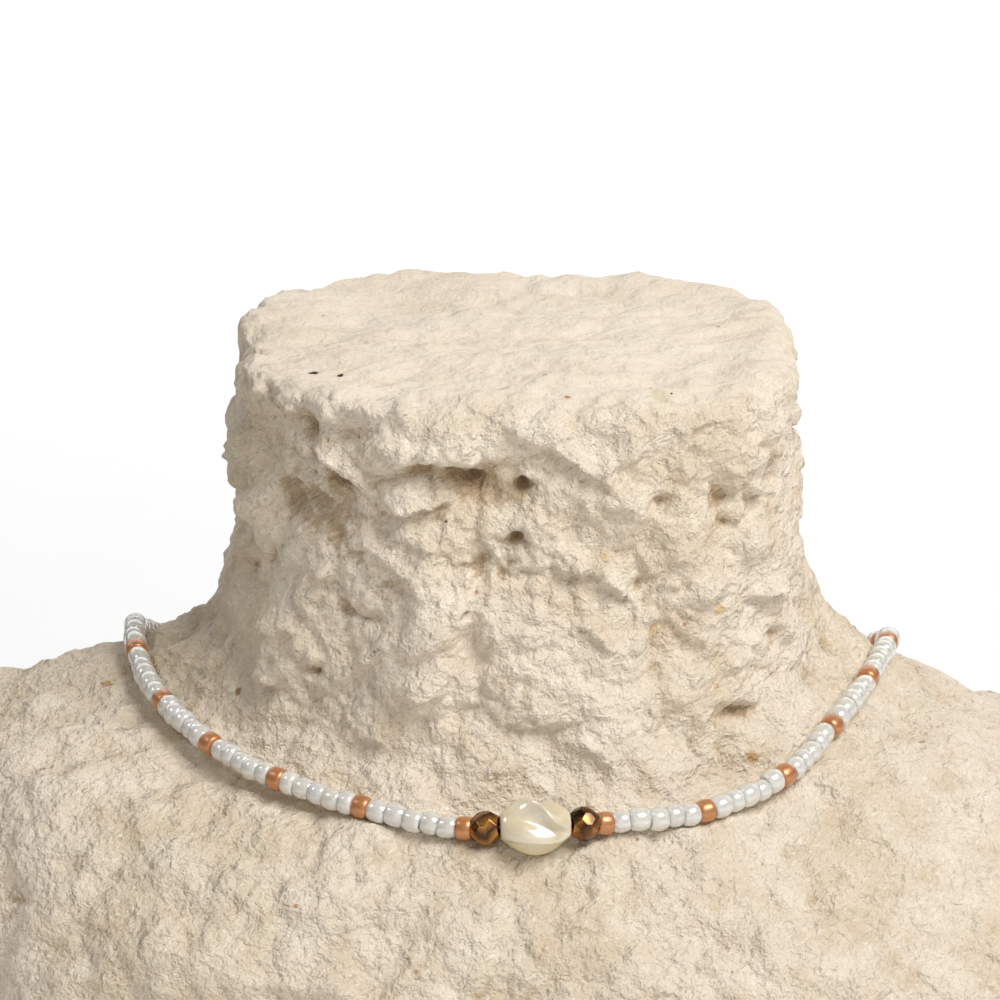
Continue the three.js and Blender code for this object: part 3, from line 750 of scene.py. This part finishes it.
def pulp_relief(points, angle, level):
    """How far the pulp stands out from the smooth bust, in millimetres, and how hollow it is there.

    Lumps of falling size and crumbs are added up on a slightly bent copy of space. They are strongest
    on the neck, weaker on the shoulders and towards the rim, and weakest on the top, and the smaller
    ones come and go in patches. The top has slanting wrinkles, and the neck's left flank upright
    folds. The chosen ledges get ragged lips from the same bending.
    """
    neck = ease_between(SEAT_LEVEL + 0.5, NECK_LEVEL, level)
    top = ease_between(RIM_LEVELS[0], RIM_LEVELS[-1], level)
    bend = np.stack([crumbs(points / 9 + i * 31, 11 + i, 2) for i in range(3)], axis=-1)
    ragged = np.stack([crumbs(points / 3.4 + i * 17, 41 + i, 2) for i in range(3)], axis=-1)
    bent = points + 2.2 * bend + 0.6 * ragged
    flank = np.exp(-(((angle + 84) / 30) ** 2)) * (1 - top)
    stretched = bent * np.array([1, 1, 0.25])
    rim = ease_between(NECK_LEVEL + 2.5, RIM_LEVELS[0], level)
    rough = 0.72 + 0.28 * neck - 0.25 * rim - 0.38 * top
    uneven = rough * np.clip(0.84 + 0.8 * soft_noise(points / 15, 50), 0.35, 1.5)
    wrinkled = (points + 3 * bend) @ np.array([[0.8, -0.6, 0], [0.6, 0.8, 0], [0, 0, 1]]) * [0.3, 1, 1]
    boulders = 2.6 * lumps(bent / 19, 20) + 3.6 * lumps(bent / 11.5, 22)
    large = 2.0 * soft_noise(points / 26, 21) + rough * boulders
    middle = uneven * (2.0 * lumps(bent / 6.2, 24) + 0.9 * lumps(bent / 3.4, 26)) * (1 - 0.5 * flank)
    middle = middle + 0.8 * uneven * crumbs(bent / 5.5, 36, 3) + 0.8 * top * crumbs(wrinkled / 6, 38, 2)
    middle = middle + flank * (1.4 * lumps(stretched / 4.5, 28) + 0.6 * crumbs(stretched / 2.2, 30, 2))
    gravel = 0.45 * lumps(bent / 1.9, 32) + 0.4 * crumbs(bent / 2.4, 34, 2)
    small = (0.3 + 0.7 * uneven) * (1 - 0.55 * top) * gravel
    shift = 0.9 * bend + 0.6 * ragged
    chosen = ledge_relief(points[..., 0] + shift[..., 0], points[..., 2] + shift[..., 2])
    chosen = chosen * (points[..., 1] < 0) * neck * (1 - top)
    inset = ease_between(NECK_LEVEL, NECK_LEVEL + 1.5, level) + 0.6 * flank
    relief = large + middle + small + 1.6 * chosen - NECK_INSET_DEPTH * inset
    hollow = ease_between(0.3, 2.2, -(middle + small + chosen + 0.4 * large))
    return relief, hollow


def held_clear(relief, points, angle, level):
    """The relief, held below the beads.

    It may stand out 0.1 + 0.3 d^2 at a distance d from the thread's seat, or 0.1 + 0.1 d^2 at d from
    the pearl's if that is less, and sink 1.1 + 0.25 d^2 at d from the thread's.
    """
    seat = bust_surface(angle, course_level(angle))
    distance = np.linalg.norm(points - seat, axis=-1)
    pearl_seat = bust_surface(PEARL_ANGLE, course_level(np.array(PEARL_ANGLE)))
    from_pearl = np.linalg.norm(points - pearl_seat, axis=-1)
    ceiling = np.minimum(0.1 + 0.3 * distance**2, 0.1 + 0.1 * from_pearl**2)
    ground = -1.1 - 0.25 * distance**2
    return np.maximum(np.minimum(relief, ceiling), ground)


def build_bust(finish):
    """The pulp bust: rings up the side, rings across the top drawn in to its middle, and a flat foot.

    Each point is moved along the smooth surface's outward direction by the relief, which dies away
    at the foot so that the bust stands flat. The neck's points also sink by a share of the relief.
    """
    angles, levels = bust_grid()
    angle, level = np.meshgrid(angles, levels)
    side = bust_surface(angle, level)
    out = bust_normal(angle, np.clip(level, PLACES[0] + 0.01, PLACES[-1] - 0.01))
    share = 1 - np.linspace(0, 1, CAP_RINGS + 1)[1:]
    rim = side[-1]
    middle = rim.mean(axis=0)
    cap = middle + (rim - middle) * share[:-1, None, None]
    points = np.concatenate([side, cap])
    out = np.concatenate([out, np.broadcast_to([0, 0, 1.0], cap.shape)])
    out[len(side) - 1] = [0, 0, 1]
    angle = np.concatenate([angle, np.broadcast_to(angles, cap.shape[:2])])
    level = np.concatenate([level, np.full(cap.shape[:2], float(PLACES[-1]))])
    relief, hollow = pulp_relief(points, (angle + 180) % 360 - 180, level)
    relief = held_clear(relief, points, angle, level) * ease_between(1, 9, points[..., 2])
    crown = ease_between(SEAT_HEIGHT + NECK_HEIGHT - 7, SEAT_HEIGHT + NECK_HEIGHT, points[..., 2])
    below_rim = 1 - ease_between(SAG_FADE_LEVEL, RIM_LEVELS[0], level)
    sag = NECK_SAG_SHARE * (ease_between(SEAT_LEVEL + 0.5, NECK_LEVEL, level) * below_rim)
    points = points + (out - [0, 0, 1.0] * sag[..., None]) * relief[..., None]
    rows = len(points)
    faces = [tuple(face) for face in grid_faces(rows, AROUND)]
    flat = points.reshape(-1, 3)
    hub, base = len(flat), len(flat) + 1
    last = (rows - 1) * AROUND
    faces += [(last + i, last + (i + 1) % AROUND, hub) for i in range(AROUND)]
    faces += [((i + 1) % AROUND, i, base) for i in range(AROUND)]
    flat = np.vstack([flat, points[-1].mean(axis=0), [0, 0, 0]])
    attributes = {
        # hollow: how sunken the pulp is, shown by the painted shade in its recesses.
        "hollow": np.append(hollow.ravel(), [hollow[-1].mean(), 0]),
        # crown: nearness to the top, for the top's painted greying and its softer bump.
        "crown": np.append(crown.ravel(), [1, 0]),
    }
    return add_piece("pulp_bust", flat, faces, finish, ["neck_bust"], attributes)


# Beads

BEAD_SIDES = 24
BEAD_SECTION = 18
# How round the beads are, and the most that one differs from the next: by a share of its length, by
# its lean as a slope, by its place in millimetres, and by a share of its radius.
WHITE_ROUNDNESS_POWER = 1.85
COPPER_ROUNDNESS_POWER = 2.6
WHITE_OVERLAP_LENGTH = 0.2  # how far a white bead goes past each end of its room on the thread
WHITE_LENGTH_SPREAD = 0.16
WHITE_TILT = 0.19
WHITE_SHIFT = 0.2
WHITE_SIZES = (0.94, 1.09)
COPPER_TILT = 0.04
COPPER_SIZES = (0.98, 1.05)
# How finely the other pieces are cut up, and the rondelle's edges and tips as shares of its length.
THREAD_SIDES = 10
THREAD_STATIONS = 260
RONDELLE_EDGE_SHARE = 0.09
RONDELLE_TIP_SHARE = 0.25
RONDELLE_WORN_WIDTH = 0.06
PEARL_STATIONS = 72
PEARL_SIDE_STEPS = 26
CLASP_SIDES = 32


def tilted(run, off, up, tilts):
    """Bead frames turned by two small angles each: the run leans towards off and up."""
    lean = unit(run + off * tilts[:, :1] + up * tilts[:, 1:])
    square = unit(off - lean * (off * lean).sum(-1, keepdims=True))
    return lean, square, np.cross(square, lean)


def bead_points(centre, run, off, up, half_length, radius, hole, power):
    """Drilled round beads, as rings of rings.

    A bead's section is the loop x = h cos^(2/p), r = middle + w sin^(2/p), a rounded box between
    the hole and the rim, and it is carried once round the thread.
    """

    def bulge(wave):
        return np.sign(wave) * np.abs(wave) ** (2 / power)

    loop = np.linspace(0, 2 * math.pi, BEAD_SECTION, endpoint=False)
    turn = np.linspace(0, 2 * math.pi, BEAD_SIDES, endpoint=False)
    x = half_length[:, None] * bulge(np.cos(loop))
    r = (radius[:, None] + hole) / 2 + (radius[:, None] - hole) / 2 * bulge(np.sin(loop))
    spoke = off[:, None] * np.cos(turn)[:, None] + up[:, None] * np.sin(turn)[:, None]
    middle = centre[:, None, None] + run[:, None, None] * x[..., None, None]
    return middle + spoke[:, None] * r[..., None, None]


def bead_faces(count):
    """Faces of that many beads, each a closed grid of BEAD_SECTION by BEAD_SIDES."""
    one = grid_faces(BEAD_SECTION, BEAD_SIDES, wrap_rows=True)
    return (one + np.arange(count)[:, None, None] * BEAD_SECTION * BEAD_SIDES).reshape(-1, 4)


def white_beads(label, side, runs, finish):
    """One side's white beads: lengths, sizes, tilts and places vary a little from bead to bead."""
    places, lengths = [], []
    for start, beads, length in runs:
        shares = 1 + rng.uniform(-WHITE_LENGTH_SPREAD, WHITE_LENGTH_SPREAD, beads)
        cut = shares / shares.sum() * beads * length
        places += list(start + np.cumsum(cut) - cut / 2)
        lengths += list(cut)
    places, lengths = np.array(places), np.array(lengths)
    count = len(places)
    centre, run, off, up = bead_frames(side * places, lengths)
    run, off, up = tilted(run, off, up, rng.uniform(-WHITE_TILT, WHITE_TILT, (count, 2)))
    radius = SEED_BEAD_RADIUS * rng.uniform(*WHITE_SIZES, count)
    centre = centre + up * rng.uniform(-WHITE_SHIFT, WHITE_SHIFT, (count, 1))
    centre = centre + off * (radius - SEED_BEAD_RADIUS)[:, None]
    half = lengths / 2 + WHITE_OVERLAP_LENGTH
    points = bead_points(
        centre, run, off, up, half, radius, BEAD_HOLE_RADIUS, WHITE_ROUNDNESS_POWER,
    )
    tone = np.broadcast_to(rng.uniform(0, 1, count)[:, None, None], points.shape[:3])
    loop = np.linspace(0, 2 * math.pi, BEAD_SECTION, endpoint=False)
    # rim: 1 at each bead's ends, where the glass gets its painted light.
    rim = np.broadcast_to(np.abs(np.cos(loop))[None, :, None], points.shape[:3])
    add_piece(
        f"white_beads_{label}", points.reshape(-1, 3), bead_faces(count), finish,
        [f"white_bead_string_{label}"], {"tone": tone, "rim": rim},
    )


def copper_beads(label, side, places, finish):
    """One side's copper beads, a piece each."""
    count = len(places)
    centre, run, off, up = bead_frames(side * np.array(places), SEED_BEAD_LENGTH)
    run, off, up = tilted(run, off, up, rng.uniform(-COPPER_TILT, COPPER_TILT, (count, 2)))
    radius = SEED_BEAD_RADIUS * rng.uniform(*COPPER_SIZES, count)
    half = np.full(count, SEED_BEAD_LENGTH / 2)
    points = bead_points(
        centre, run, off, up, half, radius, BEAD_HOLE_RADIUS, COPPER_ROUNDNESS_POWER,
    )
    for i, bead in enumerate(points, 1):
        name = f"copper_bead_{label}_{i:02d}"
        add_piece(f"{name}_glass", bead.reshape(-1, 3), bead_faces(1), finish, [name])


def thread_half(label, side, finish):
    """One side's thread: a round tube from the pearl's middle into the clasp, closed at both ends."""
    end = LOOP_LENGTH / 2 - CLASP_LENGTH / 2 + CLASP_ENTRY_DEPTH
    lengths = side * np.linspace(BEAD_GAP, end, THREAD_STATIONS)
    if side > 0:
        lengths = lengths[::-1]
    point, _, off, up = thread_frames(lengths)
    turn = np.linspace(0, 2 * math.pi, THREAD_SIDES, endpoint=False)
    spoke = off[:, None] * np.cos(turn)[:, None] + up[:, None] * np.sin(turn)[:, None]
    points = (point[:, None] + THREAD_RADIUS * spoke).reshape(-1, 3)
    ends = [tuple(reversed(range(THREAD_SIDES))), tuple(range(len(points) - THREAD_SIDES, len(points)))]
    faces = [tuple(face) for face in grid_faces(len(lengths), THREAD_SIDES)] + ends
    add_piece(f"thread_{label}", points, faces, finish)


def placed(local, at, length, turned_down=0.0):
    """Points modelled along X with Z off the bust, turned about X and carried to the thread."""
    centre, run, off, up = (part[0] for part in bead_frames([at], length))
    turn = math.radians(turned_down)
    x, y, z = np.moveaxis(np.asarray(local, float), -1, 0)
    y, z = y * math.cos(turn) - z * math.sin(turn), y * math.sin(turn) + z * math.cos(turn)
    return centre + run * x[..., None] + up * y[..., None] + off * z[..., None]


def rondelle(label, side, finish):
    """A cut rondelle: hexagons round its middle, lozenges between their tips, triangles at each end.

    The hexagons share edges that lie along the thread at the full radius R, and their tips stand at
    R cos(half a step). A lozenge's outer corner lies on the line from the shared edge's end through
    the middle of two tips.
    """
    n = RONDELLE_FACETS
    step = 2 * math.pi / n
    edge = RONDELLE_EDGE_SHARE * RONDELLE_LENGTH
    tip = RONDELLE_TIP_SHARE * RONDELLE_LENGTH
    end = RONDELLE_LENGTH / 2
    tip_radius = RONDELLE_RADIUS * math.cos(step / 2)
    fall = (RONDELLE_RADIUS - tip_radius * math.cos(step / 2)) / (tip - edge)
    end_radius = RONDELLE_RADIUS - fall * (end - edge)

    def ring(x, radius, turn):
        angle = step * (np.arange(n) + turn)
        return np.column_stack([np.full(n, x), radius * np.sin(angle), radius * np.cos(angle)])

    rings = [
        ring(end, BEAD_HOLE_RADIUS, 0), ring(end, end_radius, 0), ring(tip, tip_radius, 0.5),
        ring(edge, RONDELLE_RADIUS, 0), ring(-edge, RONDELLE_RADIUS, 0), ring(-tip, tip_radius, 0.5),
        ring(-end, end_radius, 0), ring(-end, BEAD_HOLE_RADIUS, 0),
    ]
    starts = range(0, len(rings) * n, n)
    bore_right, end_right, tip_right, edge_right, edge_left, tip_left, end_left, bore_left = starts
    faces = []
    for i in range(n):
        j, h = (i + 1) % n, (i - 1) % n
        faces += [
            (bore_right + i, bore_right + j, end_right + j, end_right + i),
            (end_right + i, end_right + j, tip_right + i),
            (end_right + i, tip_right + i, edge_right + i, tip_right + h),
            (tip_right + i, edge_right + j, edge_left + j, tip_left + i, edge_left + i, edge_right + i),
            (edge_left + i, tip_left + i, end_left + i, tip_left + h),
            (tip_left + i, end_left + j, end_left + i),
            (end_left + i, end_left + j, bore_left + j, bore_left + i),
            (bore_left + i, bore_left + j, bore_right + j, bore_right + i),
        ]
    at = side * (PEARL_LENGTH + RONDELLE_LENGTH) / 2
    points = placed(np.vstack(rings), at, RONDELLE_LENGTH, RONDELLE_TURNED_DOWN[label])
    name = f"bronze_rondelle_{label}"
    # facet: a random number per face, for the painted reflections of the bronze coat.
    facets = {"facet": rng.uniform(0, 1, len(faces))}
    piece = add_piece(f"{name}_cut", points, faces, finish, [name], facets, smooth=False)
    bevel = piece.modifiers.new("worn_edges", "BEVEL")
    bevel.width, bevel.segments = RONDELLE_WORN_WIDTH * MM, 2
    bevel.limit_method, bevel.angle_limit = "ANGLE", math.radians(8)


def pearl(finish):
    """The baroque pearl: four soft ridges that turn from end to end, with hollow faces between.

    At a share s of its length its radius swells as sin(pi s)^p. Between two ridges the reach goes
    evenly from one ridge's to the next, less a dip of sin(pi t)^q. The attribute under eases from 0
    to 1 between 1.5 and 4.2 below the pearl's middle.
    """
    share = np.linspace(0, 1, PEARL_STATIONS)
    swell = np.sin(math.pi * share) ** PEARL_FULLNESS_POWER
    radius = PEARL_END_RADIUS + (PEARL_RADIUS - PEARL_END_RADIUS) * swell
    along = share * (len(PEARL_RIDGE_ANGLES[0]) - 1)
    ridge = along_rows(PEARL_RIDGE_ANGLES.T, along)
    span = (np.roll(ridge, -1, axis=1) - ridge) % 360
    t = np.arange(PEARL_SIDE_STEPS) / PEARL_SIDE_STEPS
    angle = np.radians(ridge[..., None] + span[..., None] * t)
    rise = np.roll(PEARL_RIDGE_REACHES, -1) - PEARL_RIDGE_REACHES
    stand = PEARL_RIDGE_REACHES[:, None] + rise[:, None] * t
    dip = PEARL_HOLLOW_SHARE * swell[:, None, None] * np.sin(math.pi * t) ** PEARL_HOLLOW_POWER
    reach = radius[:, None, None] * (1 + (stand - 1) * swell[:, None, None]) * (1 - dip)
    x = np.broadcast_to(((share - 0.5) * PEARL_LENGTH)[:, None, None], angle.shape)
    skin = np.stack([x, reach * np.sin(angle), reach * np.cos(angle)], axis=-1)
    skin = skin.reshape(PEARL_STATIONS, -1, 3)
    bore = skin[[-1, 0]] * [1, 0, 0] + unit(skin[[-1, 0]] * [0, 1, 1]) * BEAD_HOLE_RADIUS
    rings = np.concatenate([skin, bore])[::-1]
    columns = rings.shape[1]
    points = placed(rings.reshape(-1, 3), 0, PEARL_LENGTH, PEARL_TURNED_DOWN)
    faces = grid_faces(len(rings), columns, wrap_rows=True)
    # under: how far below the pearl's middle a point lies, for the nacre's painted warm bounce light.
    under = ease_between(1.5, 4.2, points[:, 2].mean() - points[:, 2])
    add_piece("baroque_pearl_nacre", points, faces, finish, ["baroque_pearl"], {"under": under})


def clasp(finish):
    """The barrel clasp: a turned profile, the same at both ends, with a seam and two grooved bands."""
    half = (CLASP_LENGTH - LONG_BEAD_GAP) / 2
    right = np.array([
        [1, 0.3], [1, 0.5], [0.97, 0.62], [0.88, 0.8], [0.8, 0.94], [0.74, 0.98], [0.72, 0.9],
        [0.68, 0.9], [0.66, 0.98], [0.6, 1], [0.08, 1], [0.05, 0.98], [0.04, 0.88],
    ])
    profile = np.vstack([right, right[::-1] * [-1, 1]]) * [half, CLASP_RADIUS]
    turn = np.linspace(0, 2 * math.pi, CLASP_SIDES, endpoint=False)
    x, r = profile.T
    shape = (len(profile), len(turn))
    local = np.stack([
        np.broadcast_to(x[:, None], shape), r[:, None] * np.sin(turn), r[:, None] * np.cos(turn),
    ], axis=-1)
    points = placed(local.reshape(-1, 3), LOOP_LENGTH / 2, CLASP_LENGTH)
    faces = grid_faces(*shape, wrap_rows=True)
    add_piece("barrel_clasp_metal", points, faces, finish, ["barrel_clasp"])


def build_necklace():
    """Every piece of the choker on its thread."""
    white, copper, bronze = lustre_glass(), satin_copper(), mirror_bronze()
    thread = beading_thread()
    pearl(nacre())
    clasp(gilt_metal())
    for label, side in (("left", -1), ("right", 1)):
        coppers, runs = bead_order(RUN_SHARES[label])
        rondelle(label, side, bronze)
        copper_beads(label, side, coppers, copper)
        white_beads(label, side, runs, white)
        thread_half(label, side, thread)


# Studio

def build_floor():
    """A wide plain pale floor."""
    f = Finish("pale_floor")
    body = f.mix(f.noise(60, 2), (0.93, 0.93, 0.93, 1), (0.95, 0.95, 0.95, 1))
    reach = 6.0
    corners = [(-reach, -reach, 0), (reach, -reach, 0), (reach, reach, 0), (-reach, reach, 0)]
    mesh = bpy.data.meshes.new("floor")
    mesh.from_pydata(corners, [], [(0, 1, 2, 3)])
    mesh.materials.append(f.finished({"Base Color": body, "Roughness": 0.9, "Specular IOR Level": 0.1}))
    floor = bpy.data.objects.new("floor", mesh)
    bpy.context.scene.collection.objects.link(floor)


def add_softbox(name, place, target, width, height, watts, colour=(1, 1, 1)):
    """A rectangular soft light that faces a target, both in millimetres."""
    light = bpy.data.lights.new(name, "AREA")
    light.shape, light.size, light.size_y = "RECTANGLE", width * MM, height * MM
    light.energy, light.color = watts, colour
    lamp = bpy.data.objects.new(name, light)
    lamp.location = Vector(place) * MM
    lamp.rotation_euler = (Vector(target) - Vector(place)).to_track_quat("-Z", "Y").to_euler()
    bpy.context.scene.collection.objects.link(lamp)


def build_studio():
    """Floor, a dim world, a large soft key above and in front, and weaker lights round it."""
    build_floor()
    world = bpy.data.worlds.new("studio")
    world.use_nodes = True
    world.node_tree.nodes["Background"].inputs["Color"].default_value = (1, 0.99, 0.97, 1)
    world.node_tree.nodes["Background"].inputs["Strength"].default_value = 0.12
    bpy.context.scene.world = world
    middle = (0, 0, 90)
    add_softbox("key", (520, -540, 940), middle, 660, 540, 12.5)
    add_softbox("second", (-640, -180, 880), middle, 320, 260, 1.3, (0.97, 0.98, 1))
    add_softbox("front", (100, -1500, 600), middle, 1200, 900, 2.3, (1, 0.92, 0.8))
    add_softbox("backdrop", (0, 1250, 700), (0, 1250, 0), 2600, 1600, 17)
    bpy.context.scene.view_settings.view_transform = "Standard"


def build_camera():
    """The camera: focal points over the picture's width times the sensor's gives its lens."""
    data = bpy.data.cameras.new("camera")
    data.sensor_width = SENSOR_WIDTH
    data.lens = FOCAL_POINTS / PICTURE_WIDTH * SENSOR_WIDTH
    data.clip_start, data.clip_end = 0.01, 50
    camera = bpy.data.objects.new("camera", data)
    tilt = math.radians(CAMERA_ELEVATION)
    back = Vector((0, -math.cos(tilt), math.sin(tilt)))
    camera.location = (Vector(CAMERA_TARGET) + back * CAMERA_DISTANCE) * MM
    camera.rotation_euler = (-back).to_track_quat("-Z", "Y").to_euler()
    bpy.context.scene.collection.objects.link(camera)
    bpy.context.scene.camera = camera


build_camera()
build_studio()
build_bust(paper_pulp())
build_necklace()
